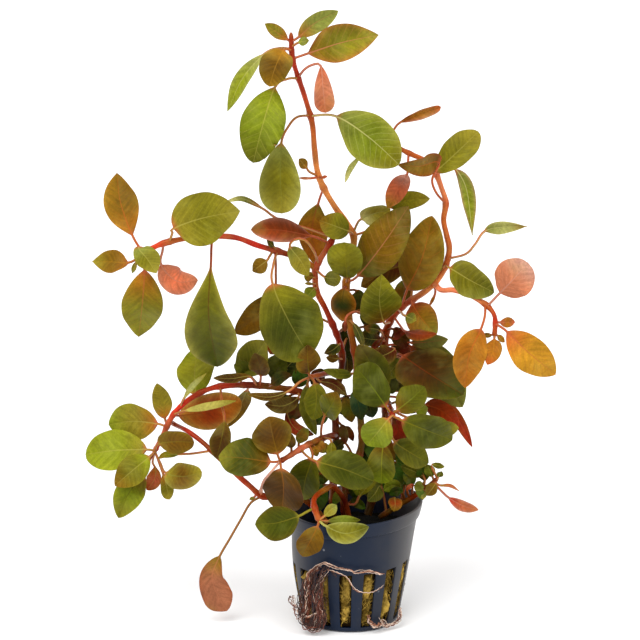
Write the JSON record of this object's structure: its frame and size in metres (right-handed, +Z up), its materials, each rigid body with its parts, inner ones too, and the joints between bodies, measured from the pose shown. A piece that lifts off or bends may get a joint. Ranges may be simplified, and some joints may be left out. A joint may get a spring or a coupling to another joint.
{
  "type": "potted ludwigia plant",
  "caption": "Bushy red and green water plant with arching red stems and oval leaves, rooted in a small slotted net pot of rock wool.",
  "frame": {"origin": "centre of the net pot's base, on the surface that it stands on", "axes": "+Z up along the pot, -Y towards the side that the plant is best seen from, +X to the right of it"},
  "size_m": [0.189, 0.0767, 0.252],
  "materials": {
    "pot_plastic": "dark slate-blue moulded polypropylene, satin",
    "rock_wool": "wet mineral wool, olive brown, matt and fibrous",
    "root": "wet copper-brown roots",
    "stem": "smooth red to orange stems, slightly glossy",
    "leaf_olive": "olive green leaf, satin with paler veins",
    "leaf_bright": "bright yellow-green leaf, satin with paler veins",
    "leaf_brown": "brown leaf with an orange midrib, satin",
    "leaf_amber": "amber to pink leaf, satin with paler veins"
  },
  "bodies": {
    "root": {"arm_lower_left": "stem", "arm_right": "stem", "arm_upper_left": "stem", "leaf_arm_left_down": "leaf_olive", "leaf_arm_left_great": "leaf_olive", "leaf_arm_left_long": "leaf_olive", "leaf_arm_left_upright": "leaf_amber", "leaf_arm_left_wide": "leaf_bright", "leaf_arm_right_hanging": "leaf_amber", "leaf_arm_right_long": "leaf_amber", "leaf_arm_right_pink": "leaf_amber", "leaf_front_back_up": "leaf_olive", "leaf_front_left_down": "leaf_bright", "leaf_front_right": "leaf_olive", "leaf_front_right_up": "leaf_bright", "leaf_front_up": "leaf_bright", "leaf_hook_left": "leaf_olive", "leaf_left_back": "leaf_olive", "leaf_left_dark": "leaf_olive", "leaf_left_down": "leaf_brown", "leaf_left_great": "leaf_brown", "leaf_left_up": "leaf_brown", "leaf_low_bright": "leaf_bright", "leaf_low_brown": "leaf_brown", "leaf_low_canoe": "leaf_amber", "leaf_low_left_twisted": "leaf_amber", "leaf_low_olive": "leaf_olive", "leaf_low_pointed": "leaf_olive", "leaf_low_round": "leaf_olive", "leaf_low_yellow": "leaf_bright", "leaf_mid_heart": "leaf_olive", "leaf_mid_wide": "leaf_brown", "leaf_middle_back": "leaf_brown", "leaf_right_bright": "leaf_bright", "leaf_right_brown": "leaf_brown", "leaf_right_great": "leaf_brown", "leaf_right_green": "leaf_olive", "leaf_right_margin": "leaf_bright", "leaf_right_olive": "leaf_olive", "leaf_right_side": "leaf_olive", "leaf_tall_behind": "leaf_olive", "leaf_tall_folded": "leaf_olive", "leaf_tall_left": "leaf_bright", "leaf_tall_left_upper": "leaf_brown", "leaf_tall_right": "leaf_olive", "leaf_tall_right_upper": "leaf_olive", "net_pot": "pot_plastic", "rock_wool": "rock_wool", "root_loop_right": "root", "root_strand": "root", "root_tangle": "root", "shoot_front": "stem", "shoot_left": "stem", "shoot_middle": "stem", "shoot_rim": "stem", "stem_front": "stem", "stem_low_left": "stem", "stem_middle": "stem", "stem_right": "stem", "stem_tall": "stem"}
  },
  "joints": []
}
